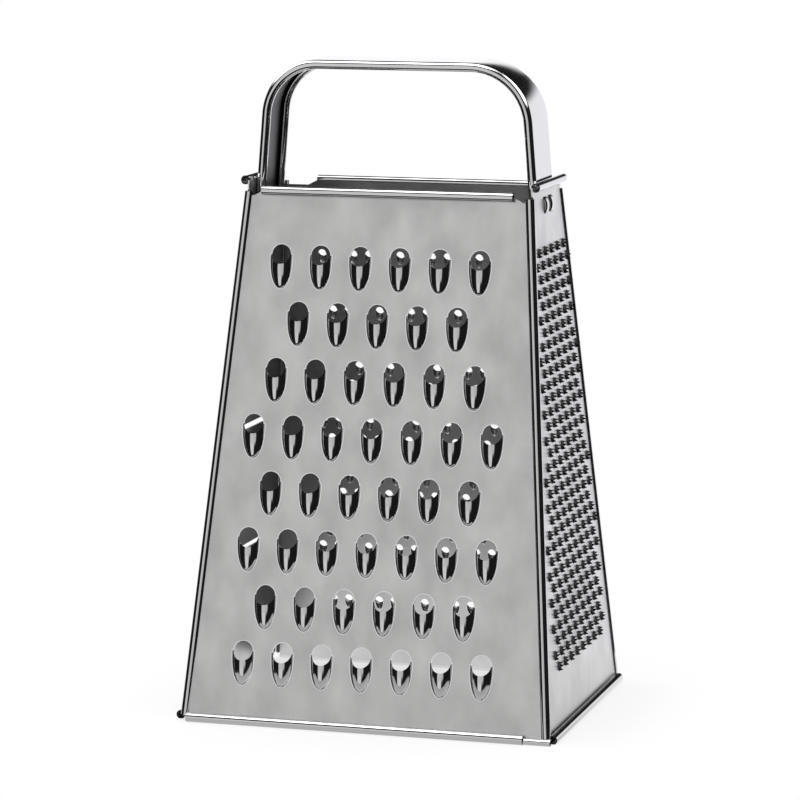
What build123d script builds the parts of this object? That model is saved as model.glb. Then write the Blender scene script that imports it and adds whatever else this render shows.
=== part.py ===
from build123d import *
from math import acos, asin, atan, ceil, cos, degrees, radians, sin, sqrt, tan
import os

# Box grater: four tapered sheet panels held by curled lock seams, and a strap handle clinched to two.
# Millimetres, +Z up, origin on the floor under the middle of the body. The front panel faces -Y.

# Body
body_rise = 183.3  # bottom rims' axis to the front and back top rims' axis
handle_rise = 45.25  # from there to the top of the handle
base_seam_width = 130.8  # corner seam axis to corner seam axis at the bottom rims
base_seam_depth = 102.0
crown_seam_width = 101.5  # the same at the front top rim
crown_seam_depth = 39.8
sheet = 0.5

# Rolled rims: open tubes curled outward along the top and the bottom of each panel
rim_radius = 1.6
rim_turn = 300  # degrees of curl
side_rim_rise = 3.2  # the side panels' top rims stand this much higher
foot_flat = 0.15  # the bottom rims are dressed flat by this much where they stand
crown_rim_inset = 5.4  # ends of the front and back top rims, inside the seam axis
far_crown_rim_inset = 12.0  # the back top rim's end on the slicing side
crown_notch_run = 3.5  # the cut corner beside a top rim
crown_notch_drop = 1.8
base_rim_inset = 1.2  # ends of the front and back bottom rims, inside the seam axis
side_base_rim_inset = 1.0
short_rim_inset = 7.7  # the front bottom rim stops here on the rasp side
stub_radius = 1.1  # and goes on to the corner as a tighter curl
stub_overhang = 1.9  # past the seam axis

# Corner lock seams: the front and back edges curl round hooks on the side panels' edges
seam_radius = 1.7
seam_step = 1.0  # panel faces stand this far outside the seam axis
seam_gap = 0.03
seam_foot_rise = 0.75  # the curls start this far above the bottom rims' axis
seam_head_drop = 0.6  # and end this far under the front top rim's axis
side_head_flare = 1.2  # above the seams the side panels widen to the seam axis within this height
hook_turn = 230  # degrees of curl of a hook
seam_tab = 0.6  # flat strip that a curl shares with its panel

# Coarse teeth on the front panel
coarse_hole_radius = 3.5
coarse_hood_half_width = 4.0
coarse_hood_height = 2.2
coarse_tooth_length = 15.5  # top of the hole to the tip of the hood
coarse_pitch = 14.4
coarse_row_pitch = 19.9
coarse_top_margin = 18.8  # top rim axis to the top of the first row
coarse_shift = -1.6  # the pattern's middle, from the panel's middle
coarse_edge_margin = 8.0  # least distance from a tooth's middle to the seam axis
coarse_foot_margin = 15.0  # and to the bottom rim
coarse_rows = (6, 5, 6, 7, 6, 7, 6, 7)  # teeth in each row, from the top

# Fine teeth on the back panel
fine_hole_radius = 1.4
fine_hood_half_width = 1.4
fine_hood_height = 0.9
fine_tooth_length = 5.2
fine_pitch = 5.9
fine_row_pitch = 7.05
fine_top_margin = 20.3  # top rim axis to the first row's holes
fine_row_count = 22
fine_edge_margin = 13.5
fine_foot_margin = 8.0

# Star rasp on the right panel
star_radius = 1.4
star_height = 1.0
star_pitch = 8.6
star_row_pitch = 4.6
star_top_margin = 19.7  # front top rim axis to the first row
star_row_count = 32
star_first_count = 5  # the next row holds one more, and so on in turn
star_widening_rows = (9, 18, 23)  # rows, from the top, where the pattern widens by half a pitch each side
star_edge_margin = 2.4
star_foot_margin = 8.0

# Slicing blades on the left panel
blade_opening = 3.4
blade_rise = 2.2
blade_apron = 10.0  # ramp from a blade's edge down to the sheet
blade_shoulder = 2.5  # side slopes of the ramp
blade_edge_margin = 10.0  # seam axis to a blade's shoulder
blade_corner = 1.2  # cut corners of the slot over a blade
blade_pitch = 46.0
blade_count = 3
blade_top_margin = 44.0  # front top rim axis to the first edge

# Handle: one strip with both edges curled inward
handle_width = 24.5
handle_sheet = 0.8
handle_bead_radius = 1.65
handle_bead_turn = 270  # degrees of curl
handle_left_bend = 20.5  # outer bend radii
handle_right_bend = 22.5
handle_leg_reach = 15.0  # the legs end this far under the front top rim's axis
leg_gap = 0.03  # clearance between a leg and its panel

# Lance-and-clinch joints: pairs of short bridges pressed out of a side panel and a leg together
clinch_height = 6.2
clinch_width = 2.6
clinch_pitch = 7.2
clinch_bulge = 1.2
clinch_slit = 0.3
clinch_drop = 4.1  # middle of a bridge, under the front top rim's axis

overrun = 5.0  # cutting shapes run this far past what they cut

floor_axis = rim_radius - foot_flat
crown_axis = floor_axis + body_rise
overall_height = crown_axis + handle_rise
side_crown_axis = crown_axis + side_rim_rise
width_slope = (base_seam_width - crown_seam_width) / 2 / body_rise
depth_slope = (base_seam_depth - crown_seam_depth) / 2 / body_rise

seam_turn = 180 - degrees(asin(seam_step / seam_radius)) + degrees(
    acos((seam_step + seam_gap) / (seam_radius - sheet))
)
hook_radius = seam_radius - sheet - seam_gap
front_sides = (base_seam_depth / 2, depth_slope, base_seam_width / 2, width_slope)
side_sides = (base_seam_width / 2, width_slope, base_seam_depth / 2, depth_slope)

# Shares of a hood's length, half width and height at its cross-sections, and the angles across each of them
coarse_hood_shares = ((0.55, 0.87, 0.82),)
fine_hood_shares = ()
coarse_hood_angles = (0, 48, 90, 132, 180)
fine_hood_angles = (0, 90, 180)
coarse_hole_sides = 6  # sides of the upper half of a hole
fine_hole_sides = 2


def half_width(z):
    """Half the distance between the left and the right seam axes at height z."""
    return base_seam_width / 2 - width_slope * (z - floor_axis)


def on_circle(centre, radius, angle):
    """Point of a circle, with the angle in degrees."""
    return (centre[0] + radius * cos(radians(angle)), centre[1] + radius * sin(radians(angle)))


def arcs(centre, radius, start, end):
    """An arc from one angle to another in degrees, in pieces of under a half circle."""
    pieces = ceil(abs(end - start) / 170)
    step = (end - start) / pieces
    result = []
    for i in range(pieces):
        points = [on_circle(centre, radius, start + (i + share) * step) for share in (0, 0.5, 1)]
        result.append(ThreePointArc(*points))
    return result


def curl_section(centre, radius, wall, start, end):
    """Section of an open curl: a ring sector one wall thick."""
    outside = arcs(centre, radius, start, end)
    inside = arcs(centre, radius - wall, end, start)
    ends = [Line(outside[-1] @ 1, inside[0] @ 0), Line(inside[-1] @ 1, outside[0] @ 0)]
    return make_face(outside + inside + ends)


class Wall:
    """One side of the body: a frame on its panel's outer face, and the sizes that follow from it.

    In the frame, x runs to the right as seen from outside, y up the slope and z outward.
    """

    def __init__(self, turn, seam_out, out_slope, half_span, span_slope, top_axis):
        self.turn = turn
        self.seam_out = seam_out  # seam axes' distance from the middle, at the bottom rims
        self.out_slope = out_slope
        self.half_span = half_span
        self.span_slope = span_slope
        self.lean = atan(out_slope)
        self.frame = Plane(
            origin=(0, -seam_out - seam_step, floor_axis), x_dir=(1, 0, 0), z_dir=(0, -1, out_slope)
        )
        self.foot = self.rim_line(floor_axis, rim_radius)
        self.head = self.rim_line(top_axis, rim_radius)

    def rim_line(self, z, radius):
        """Where a rim with its axis at height z leaves the sheet, as a distance up the slope."""
        return self.up(z) - (radius - sheet) * tan(self.lean)

    def up(self, z):
        """Distance up the slope of height z on the outer face."""
        return (z - floor_axis) / cos(self.lean)

    def span(self, y):
        """Distance from the middle to the seam axes, at y up the slope."""
        return self.half_span - self.span_slope * y * cos(self.lean)

    def place(self, shape):
        """A shape drawn in the frame, put where the wall stands."""
        return Rot(0, 0, self.turn) * (self.frame * shape)

    def edge_inset(self, radius):
        """How far inside the seam axis the plate ends, under the flat strip of its curls."""
        return sqrt(radius**2 - seam_step**2) + seam_tab / 2

    def seam_curls(self, radius, turn):
        """Both upright curls, as slanted prisms along the seam axes."""
        face_in = seam_step - sheet / cos(self.lean)
        start = 180 - degrees(asin(seam_step / radius))
        start_in = 180 - degrees(asin(face_in / (radius - sheet)))
        outside = arcs((0, 0), radius, start, start - turn)
        inside = arcs((0, 0), radius - sheet, start - turn, start_in)
        strip_end = -sqrt(radius**2 - seam_step**2) - seam_tab
        strip = [
            Line(inside[-1] @ 1, (strip_end, face_in)),
            Line((strip_end, face_in), (strip_end, seam_step)),
            Line((strip_end, seam_step), outside[0] @ 0),
        ]
        section = make_face(outside + [Line(outside[-1] @ 1, inside[0] @ 0)] + inside + strip)
        rise = body_rise - seam_head_drop - seam_foot_rise
        start_span = self.half_span - self.span_slope * seam_foot_rise
        start_out = self.seam_out - self.out_slope * seam_foot_rise
        section = Pos(start_span, -start_out, floor_axis + seam_foot_rise) * section.mirror(Plane.XZ)
        slant = Vector(-self.span_slope * rise, self.out_slope * rise, rise)
        curl = extrude(section, amount=slant.length, dir=slant)
        return [Rot(0, 0, self.turn) * part for part in (curl, curl.mirror(Plane.YZ))]

    def rim(self, line, left, right, radius, upward):
        """A rolled rim from x = left to x = right, leaving the sheet at y = line."""
        turn = -rim_turn if upward else rim_turn
        section = curl_section((radius - sheet, 0), radius, sheet, 180, 180 + turn)
        across = Plane(origin=(left, line, 0), x_dir=(0, 0, 1), z_dir=(-1, 0, 0))
        return self.place(extrude(across * section, amount=left - right))

    def edges(self, radius):
        """The plate's right edge as corners from the bottom rim to the top rim, without notches."""
        inset = self.edge_inset(radius)
        return [(self.span(y) - inset, y) for y in (self.foot, self.head)]


def mirrored(points):
    """Corners of the left edge, from those of the right one."""
    return [(-x, y) for x, y in reversed(points)]


class Pressing:
    """A shape pressed out of flat sheet: its ring on the flat, its raised facets and its open edges.

    A hollow one shows on both skins. A solid one is only raised on the outer skin.
    """

    def __init__(self, ring, facets, open_edges, hollow=True):
        self.ring = ring
        self.facets = facets
        self.open_edges = open_edges
        self.hollow = hollow

    def at(self, x, y):
        """The same pressing with its origin at x, y."""
        place = Vector(x, y, 0)
        return Pressing(
            [place + p for p in self.ring],
            [[place + p for p in facet] for facet in self.facets],
            [[place + p for p in edge] for edge in self.open_edges],
            self.hollow,
        )


def polygon(points, rings=()):
    """Flat face through points, with holes."""
    wires = [Wire.make_polygon(ring, close=True) for ring in rings]
    return Face(Wire.make_polygon(points, close=True), wires)


def pressed_plate(outline, pressings):
    """Sheet of an outline with pressings: both skins, joined by walls along every open edge."""
    flat = [Vector(x, y, 0) for x, y in outline]
    hollow = [pressing for pressing in pressings if pressing.hollow]
    front = [polygon(flat, [pressing.ring for pressing in pressings])]
    front += [polygon(facet) for pressing in pressings for facet in pressing.facets]
    back = [polygon(flat, [pressing.ring for pressing in hollow])]
    back += [polygon(facet) for pressing in hollow for facet in pressing.facets]
    depth = Vector(0, 0, -sheet)
    edges = [(flat[i - 1], flat[i]) for i in range(len(flat))]
    edges += [edge for pressing in hollow for edge in pressing.open_edges]
    walls = [polygon([a, b, b + depth, a + depth]) for a, b in edges]
    return Solid(Shell(front + [Pos(*depth) * face for face in back] + walls))


def rounded(radius_x, radius_y, height, angles):
    """Points of an ellipse above or below the origin, raised by height where its angle is 90 degrees."""
    turns = [radians(angle) for angle in angles]
    return [Vector(radius_x * cos(t), radius_y * sin(t), height * sin(t)) for t in turns]


def hooded_tooth(hole_radius, half_hood, height, length, section_shares, angles, hole_sides):
    """A shredding tooth: the upper half of a round hole, and below it a hood that opens upward.

    The origin is the hole's middle. The hood's lip follows the hole's lower half and its tip points down.
    """
    reach = length - hole_radius
    upper = rounded(hole_radius, hole_radius, 0, [180 * i / hole_sides for i in range(hole_sides + 1)])
    lip = []
    for point in rounded(half_hood, 0, height, angles):
        drop = sqrt(max(hole_radius**2 - point.X**2, 0))
        lip.append(point - Vector(0, drop, 0))
    sections = [lip]
    for along, across, up in section_shares:
        middle = Vector(0, -along * reach, 0)
        sections.append([middle + p for p in rounded(across * half_hood, 0, up * height, angles)])
    tip = Vector(0, -reach, 0)
    facets = []
    for near, far in zip(sections, sections[1:]):
        for i in range(len(angles) - 1):
            facets.append([near[i], near[i + 1], far[i + 1]])
            facets.append([near[i], far[i + 1], far[i]])
    facets += [[sections[-1][i], sections[-1][i + 1], tip] for i in range(len(angles) - 1)]
    shoulder = 1 if half_hood > hole_radius else 0
    left = [section[-1] for section in sections][1 - shoulder :]
    right = [section[0] for section in sections][1 - shoulder :]
    ring = upper + left + [tip] + right[::-1]
    open_edges = list(zip(upper, upper[1:])) + list(zip(lip, lip[1:]))
    if shoulder:
        open_edges += [(upper[-1], lip[-1]), (lip[0], upper[0])]
    return Pressing(ring, facets, open_edges)


def star():
    """A rasp point: a four-sided spike whose base is a square standing on its corner."""
    ring = rounded(star_radius, star_radius, 0, (0, 90, 180, 270))
    peak = Vector(0, 0, star_height)
    return Pressing(ring, [[ring[i - 1], ring[i], peak] for i in range(len(ring))], [], hollow=False)


def blade(half_blade):
    """A slicing blade: a slot, and below it a ramp that rises to a straight edge facing up."""
    flat_half = half_blade - blade_shoulder
    right = [
        Vector(half_blade, 0, 0),
        Vector(half_blade, blade_opening - blade_corner, 0),
        Vector(half_blade - blade_corner, blade_opening, 0),
    ]
    slot = right + [Vector(-p.X, p.Y, 0) for p in reversed(right)]
    edge = [slot[0], Vector(flat_half, 0, blade_rise), Vector(-flat_half, 0, blade_rise), slot[-1]]
    low = [Vector(flat_half, -blade_apron, 0), Vector(-flat_half, -blade_apron, 0)]
    facets = [[edge[1], edge[2], low[1], low[0]], [edge[0], edge[1], low[0]], [edge[2], edge[3], low[1]]]
    return Pressing(slot + low[::-1], facets, list(zip(slot, slot[1:])) + list(zip(edge, edge[1:])))


def clinch_slots(wall):
    """The lanced openings of a side panel's two bridges."""
    half = Vector(clinch_width / 2 + clinch_slit, clinch_height / 2, 0)
    corners = [Vector(half.X, -half.Y, 0), half, Vector(-half.X, half.Y, 0), -half]
    slot = Pressing(corners, [], [(corners[i - 1], corners[i]) for i in range(len(corners))])
    return [slot.at(side * clinch_pitch / 2, wall.up(crown_axis - clinch_drop)) for side in (-1, 1)]


def clinch_bridges(wall, face, thickness):
    """Two arched bridges over openings in a sheet with its outer face at z = face in the wall's frame."""
    ends = [(-clinch_height / 2, face), (clinch_height / 2, face)]
    outer = ThreePointArc(ends[0], (0, face + clinch_bulge), ends[1])
    inner = Pos(0, -thickness) * outer
    sides = [Line(outer @ 1, inner @ 1), Line(inner @ 0, outer @ 0)]
    profile = make_face([outer, inner] + sides)
    bridges = []
    for side in (-1, 1):
        corner = (side * clinch_pitch / 2 - clinch_width / 2, wall.up(crown_axis - clinch_drop), 0)
        across = Plane(origin=corner, x_dir=(0, 1, 0), z_dir=(1, 0, 0))
        bridges.append(wall.place(extrude(across * profile, amount=clinch_width)))
    return bridges


def spread(pressing, wall, y, count, pitch, margin, foot_margin, shift=0):
    """A row of copies at y up the wall, evenly spaced, without those that fall outside the margins."""
    if y < wall.foot + foot_margin:
        return []
    middles = [shift + (i - (count - 1) / 2) * pitch for i in range(count)]
    return [pressing.at(x, y) for x in middles if abs(x) <= wall.span(y) - margin]


def rows_of_teeth(wall):
    """The coarse teeth: staggered rows, wider towards the bottom."""
    tooth = hooded_tooth(
        coarse_hole_radius,
        coarse_hood_half_width,
        coarse_hood_height,
        coarse_tooth_length,
        coarse_hood_shares,
        coarse_hood_angles,
        coarse_hole_sides,
    )
    top = wall.up(crown_axis) - coarse_top_margin - coarse_hole_radius
    teeth = []
    for row, count in enumerate(coarse_rows):
        y = top - row * coarse_row_pitch
        margins = (coarse_edge_margin, coarse_foot_margin)
        teeth += spread(tooth, wall, y, count, coarse_pitch, *margins, coarse_shift)
    return teeth


def rows_of_fine_teeth(wall):
    """The fine teeth: every row fills the width between the margins, with odd and even rows in turn."""
    tooth = hooded_tooth(
        fine_hole_radius,
        fine_hood_half_width,
        fine_hood_height,
        fine_tooth_length,
        fine_hood_shares,
        fine_hood_angles,
        fine_hole_sides,
    )
    most = 2 * ceil(base_seam_width / fine_pitch / 2)
    teeth = []
    for row in range(fine_row_count):
        y = wall.up(crown_axis) - fine_top_margin - row * fine_row_pitch
        count = most + 1 - row % 2
        teeth += spread(tooth, wall, y, count, fine_pitch, fine_edge_margin, fine_foot_margin)
    return teeth


def rows_of_stars(wall):
    """The rasp's points: odd and even rows in turn, with wider rows towards the bottom."""
    point = star()
    stars = []
    for row in range(1, star_row_count + 1):
        y = wall.up(crown_axis) - star_top_margin - (row - 1) * star_row_pitch
        widest = star_first_count + 1 + sum(row >= wider for wider in star_widening_rows)
        count = widest - (widest - row) % 2
        stars += spread(point, wall, y, count, star_pitch, star_edge_margin, star_foot_margin)
    return stars


def blades(wall):
    """The slicing blades, each as wide as its place on the tapered panel allows."""
    result = []
    for i in range(blade_count):
        y = wall.up(crown_axis) - blade_top_margin - i * blade_pitch
        result.append(blade(wall.span(y) - blade_edge_margin).at(0, y))
    return result


def notched(wall, edge, rim_inset):
    """A right edge with its top corner cut down beside a shorter top rim."""
    low = wall.head - crown_notch_drop
    shoulder = wall.span(low) - wall.edge_inset(seam_radius)
    rim_end = wall.span(wall.head) - rim_inset
    corner = min(rim_end + crown_notch_run, shoulder)
    steps = [(shoulder, low)] + [(corner, low)] * (corner < shoulder) + [(rim_end, wall.head)]
    return edge[:-1] + steps


def stubbed(wall, edge):
    """A right edge whose foot goes down and out to the corner, for the tighter curl there."""
    stub_foot = wall.rim_line(stub_radius - foot_flat, stub_radius)
    rim_end = wall.span(wall.foot) - short_rim_inset
    corner = wall.span(wall.foot) + stub_overhang
    under_seam = wall.up(floor_axis + seam_foot_rise) - seam_gap
    start = [(rim_end, wall.foot), (rim_end, stub_foot), (corner, stub_foot), (corner, under_seam)]
    return start + [(wall.span(under_seam) - wall.edge_inset(seam_radius), under_seam)] + edge[1:]


def stub(wall):
    """The tighter curl at the foot of the front panel's corner."""
    line = wall.rim_line(stub_radius - foot_flat, stub_radius)
    rim_end = wall.span(wall.foot) - short_rim_inset
    return wall.rim(line, rim_end, wall.span(wall.foot) + stub_overhang, stub_radius, False)


def flared(wall, edge):
    """A right edge that widens to the seam axis above the seam."""
    low = wall.up(crown_axis)
    high = wall.up(crown_axis + side_head_flare)
    shoulder = (wall.span(low) - wall.edge_inset(hook_radius), low)
    return [edge[0], shoulder, (wall.span(high), high), (wall.span(wall.head), wall.head)]


def finished(wall, plate, extras):
    """The plate where it stands, fused with its curls and rims, and dressed flat on the floor."""
    below = Box(base_seam_width * 2, base_seam_depth * 2, overrun)
    return (wall.place(plate) + extras) - Pos(0, 0, -overrun / 2) * below


def front_panel():
    wall = Wall(0, *front_sides, crown_axis)
    edge = wall.edges(seam_radius)
    right = notched(wall, stubbed(wall, edge), crown_rim_inset)
    left = mirrored(notched(wall, edge, crown_rim_inset))
    head_end = wall.span(wall.head) - crown_rim_inset
    foot_end = wall.span(wall.foot) - base_rim_inset
    foot_stop = wall.span(wall.foot) - short_rim_inset
    extras = wall.seam_curls(seam_radius, seam_turn)
    extras.append(wall.rim(wall.head, -head_end, head_end, rim_radius, True))
    extras.append(wall.rim(wall.foot, -foot_end, foot_stop, rim_radius, False))
    extras.append(stub(wall))
    return finished(wall, pressed_plate(right + left, rows_of_teeth(wall)), extras)


def back_panel():
    wall = Wall(180, *front_sides, crown_axis)
    edge = wall.edges(seam_radius)
    right = notched(wall, edge, far_crown_rim_inset)
    left = mirrored(notched(wall, edge, crown_rim_inset))
    head_left = crown_rim_inset - wall.span(wall.head)
    head_right = wall.span(wall.head) - far_crown_rim_inset
    foot_end = wall.span(wall.foot) - base_rim_inset
    extras = wall.seam_curls(seam_radius, seam_turn)
    extras.append(wall.rim(wall.head, head_left, head_right, rim_radius, True))
    extras.append(wall.rim(wall.foot, -foot_end, foot_end, rim_radius, False))
    return finished(wall, pressed_plate(right + left, rows_of_fine_teeth(wall)), extras)


def side_panel(turn, pattern):
    wall = Wall(turn, *side_sides, side_crown_axis)
    right = flared(wall, wall.edges(hook_radius))
    head_end = wall.span(wall.head)
    foot_end = wall.span(wall.foot) - side_base_rim_inset
    extras = wall.seam_curls(hook_radius, hook_turn)
    extras.append(wall.rim(wall.head, -head_end, head_end, rim_radius, True))
    extras.append(wall.rim(wall.foot, -foot_end, foot_end, rim_radius, False))
    extras += clinch_bridges(wall, 0, sheet)
    plate = pressed_plate(right + mirrored(right), pattern(wall) + clinch_slots(wall))
    return finished(wall, plate, extras)


def strip_section():
    """Section of the handle's strip: x across it, y outward from its outer face, both edges curled in."""
    centre = (handle_width / 2 - handle_bead_radius, -handle_bead_radius)
    inner_radius = handle_bead_radius - handle_sheet
    outside = arcs(centre, handle_bead_radius, 90, 90 - handle_bead_turn)
    inside = arcs(centre, inner_radius, 90 - handle_bead_turn, 90)
    right = outside + [Line(outside[-1] @ 1, inside[0] @ 0)] + inside
    left = [edge.mirror(Plane.YZ) for edge in right]
    faces = [Line(left[0] @ 0, right[0] @ 0), Line(left[-1] @ 1, right[-1] @ 1)]
    return make_face(right + left + faces)


def handle():
    """An inverted U of curled strip, with its legs flat against the insides of the side panels."""
    leg_out = seam_step - (sheet + leg_gap) / cos(atan(width_slope))
    low = crown_axis - handle_leg_reach
    foot = (half_width(low) + leg_out, 0, low)
    corner = (half_width(overall_height) + leg_out, 0, overall_height)
    points = [(-foot[0], 0, low), (-corner[0], 0, overall_height), corner, foot]
    path = FilletPolyline(*points, radius=[handle_left_bend, handle_right_bend])
    start = Plane(origin=path @ 0, x_dir=(0, 1, 0), z_dir=path % 0)
    strip = sweep(start * strip_section(), path)
    cuts = []
    bridges = []
    for turn in (90, 270):
        wall = Wall(turn, *side_sides, side_crown_axis)
        face = -sheet - leg_gap
        opening = Box(clinch_width + 2 * clinch_slit, clinch_height, overrun)
        y = wall.up(crown_axis - clinch_drop)
        cuts += [wall.place(Pos(side * clinch_pitch / 2, y, face) * opening) for side in (-1, 1)]
        bridges += clinch_bridges(wall, face, handle_sheet)
    return (strip - cuts) + bridges


parts = {
    "front_panel": front_panel(),
    "back_panel": back_panel(),
    "right_panel": side_panel(90, rows_of_stars),
    "left_panel": side_panel(270, blades),
    "handle": handle(),
}
os.makedirs("parts", exist_ok=True)
for name, part in parts.items():
    export_step(part, f"parts/{name}.step")
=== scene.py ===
# %% [markdown]
# Box grater.
# A box grater is four tapered sheets of thin stainless steel. Curled lock seams join them at the corners,
# rolled rims stiffen their top and bottom edges, and a strap handle is clinched to the two narrow sides.
# The sheets are pressed: coarse teeth in front, fine teeth behind, star points on the right and slicing
# blades on the left. Every step below loads, builds or finishes one of these things.

import math

import bmesh
import bpy
from mathutils import Matrix, Vector


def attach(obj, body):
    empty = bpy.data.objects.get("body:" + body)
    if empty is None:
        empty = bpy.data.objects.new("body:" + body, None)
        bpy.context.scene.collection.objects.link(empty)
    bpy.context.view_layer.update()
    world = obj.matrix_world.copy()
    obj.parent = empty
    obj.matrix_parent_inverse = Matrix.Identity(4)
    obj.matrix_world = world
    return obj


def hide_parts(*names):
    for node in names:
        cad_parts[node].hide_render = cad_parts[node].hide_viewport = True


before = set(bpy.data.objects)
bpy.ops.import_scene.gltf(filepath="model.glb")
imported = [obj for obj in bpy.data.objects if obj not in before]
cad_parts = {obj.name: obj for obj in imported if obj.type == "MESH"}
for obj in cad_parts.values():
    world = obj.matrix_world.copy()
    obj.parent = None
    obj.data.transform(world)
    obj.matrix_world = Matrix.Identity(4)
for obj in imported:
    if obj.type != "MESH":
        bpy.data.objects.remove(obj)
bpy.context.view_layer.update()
print("loaded", sorted(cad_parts))

# %% [markdown]
# Sizes.
# The sizes are the real ones in metres. The seam axes are the lines that the corner beads curl round:
# they give the body its taper, and everything on a panel is measured from them.

# %% Sizes of the body
body_rise = 0.1833
base_seam_width = 0.1308
base_seam_depth = 0.1020
crown_seam_width = 0.1015
crown_seam_depth = 0.0398
sheet = 0.0005
rim_radius = 0.0016
foot_flat = 0.00015
seam_step = 0.0010
floor_axis = rim_radius - foot_flat
crown_axis = floor_axis + body_rise
width_slope = (base_seam_width - crown_seam_width) / 2 / body_rise
depth_slope = (base_seam_depth - crown_seam_depth) / 2 / body_rise
print("taper", [round(math.degrees(math.atan(slope)), 2) for slope in (width_slope, depth_slope)], "degrees")

# %% [markdown]
# Walls.
# Each panel is easiest to draw flat, looking straight at its outer face. A wall knows how to put such a
# drawing where the panel stands: x runs to the right, y up the slope and z outward.


# %% Wall frames
class Wall:
    """One side of the body: its slope, its width at every height and the matrix that places its drawing."""

    def __init__(self, turn, seam_out, out_slope, half_span, span_slope, top_axis):
        self.turn = Matrix.Rotation(math.radians(turn), 4, "Z")
        self.seam_out = seam_out
        self.out_slope = out_slope
        self.half_span = half_span
        self.span_slope = span_slope
        self.lean = math.atan(out_slope)
        outward = Vector((0, -1, out_slope)).normalized()
        right = Vector((1, 0, 0))
        upward = outward.cross(right)
        origin = Vector((0, -seam_out - seam_step, floor_axis))
        columns = Matrix((right, upward, outward)).transposed().to_4x4()
        self.matrix = self.turn @ Matrix.Translation(origin) @ columns
        self.foot = self.rim_line(floor_axis, rim_radius)
        self.head = self.rim_line(top_axis, rim_radius)

    def up(self, z):
        """Distance up the slope of height z on the outer face."""
        return (z - floor_axis) / math.cos(self.lean)

    def rim_line(self, z, radius):
        """Where a rim with its axis at height z leaves the sheet."""
        return self.up(z) - (radius - sheet) * math.tan(self.lean)

    def span(self, y):
        """Distance from the middle to the seam axes, at y up the slope."""
        return self.half_span - self.span_slope * y * math.cos(self.lean)


side_rim_rise = 0.0032
front_sides = (base_seam_depth / 2, depth_slope, base_seam_width / 2, width_slope)
side_sides = (base_seam_width / 2, width_slope, base_seam_depth / 2, depth_slope)
walls = {
    "front": Wall(0, *front_sides, crown_axis),
    "right": Wall(90, *side_sides, crown_axis + side_rim_rise),
    "back": Wall(180, *front_sides, crown_axis),
    "left": Wall(270, *side_sides, crown_axis + side_rim_rise),
}
print("walls", list(walls))

# %% [markdown]
# Small mesh helpers.
# A Mesh made from a list of points and faces is the plainest way to turn a formula into metal. These
# helpers make such a mesh, join several into one, and sweep a two-sided strip of sheet from one place to
# another. Every face also says how it was worked, because metal that was drawn over a die or torn looks
# different from the sheet, and the same mark places the painted highlights and the painted shade.

# %% Mesh helpers
# The third kind is a painted highlight, and the fourth and fifth carry painted shade as well as their
# roughness.
rolled, drawn, painted_highlight, torn_painted_shade, dull_painted_shade = 0, 1, 2, 3, 4


def mesh_object(name, points, faces, works=None):
    """An object at the origin with a mesh of these points and faces, and how each face was worked."""
    mesh = bpy.data.meshes.new(name)
    mesh.from_pydata([tuple(p) for p in points], [], faces)
    mesh.attributes.new("work", "INT", "FACE").data.foreach_set("value", works or [rolled] * len(faces))
    mesh.update()
    thing = bpy.data.objects.new(name, mesh)
    bpy.context.scene.collection.objects.link(thing)
    return thing


def curve_object(name, loops):
    """A curve object of closed straight-sided loops in the XY plane."""
    curve = bpy.data.curves.new(name, "CURVE")
    curve.dimensions = "2D"
    curve.fill_mode = "NONE"
    for loop in loops:
        spline = curve.splines.new("POLY")
        spline.points.add(len(loop) - 1)
        for point, (x, y) in zip(spline.points, loop):
            point.co = (x, y, 0, 1)
        spline.use_cyclic_u = True
    thing = bpy.data.objects.new(name, curve)
    bpy.context.scene.collection.objects.link(thing)
    return thing


class Metal:
    """Points and faces that grow as strips, bands and grids are added."""

    def __init__(self):
        self.points = []
        self.faces = []
        self.works = []

    def add(self, points, faces, works):
        """Adds points, faces that count from the first of them, and how each face was worked."""
        start = len(self.points)
        self.points += [Vector(p) for p in points]
        self.faces += [tuple(start + i for i in face) for face in faces]
        self.works += works

    def grid(self, rows, flip=False, work=drawn):
        """Quads between rows of points of one length."""
        width = len(rows[0])
        faces = []
        for r in range(len(rows) - 1):
            for c in range(width - 1):
                a = r * width + c
                quad = (a, a + 1, a + 1 + width, a + width)
                faces.append(quad[::-1] if flip else quad)
        self.add([p for row in rows for p in row], faces, [work] * len(faces))

    def join(self, other, offset=(0, 0, 0)):
        """Adds another piece of metal, moved by an offset."""
        self.add([p + Vector(offset) for p in other.points], other.faces, other.works)

    def place(self, matrix):
        """Moves all the points by a matrix."""
        self.points = [matrix @ p for p in self.points]
        return self


def metal_object(name, metal):
    """An object of a piece of metal."""
    return mesh_object(name, metal.points, metal.faces, metal.works)


def strip_between(outer, inner, places):
    """A strip of sheet with these two sides as its section, standing at each of the places in turn."""
    metal = Metal()
    outer_rows = [[place @ Vector(p) for p in outer] for place in places]
    inner_rows = [[place @ Vector(p) for p in inner] for place in places]
    metal.grid(outer_rows)
    metal.grid(inner_rows, flip=True)
    metal.grid([[a[0], b[0]] for a, b in zip(outer_rows, inner_rows)])
    metal.grid([[a[-1], b[-1]] for a, b in zip(outer_rows, inner_rows)], flip=True)
    # The cut ends are rough, and painted nearly black as shade.
    metal.grid([outer_rows[0], inner_rows[0]], flip=True, work=torn_painted_shade)
    metal.grid([outer_rows[-1], inner_rows[-1]], work=torn_painted_shade)
    return metal


def arc(centre, radius, start, end, steps):
    """Points of an arc in the XY plane, with its angles in degrees."""
    angles = [math.radians(start + (end - start) * i / steps) for i in range(steps + 1)]
    return [(centre[0] + radius * math.cos(a), centre[1] + radius * math.sin(a), 0) for a in angles]


print("helpers ready")

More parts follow.
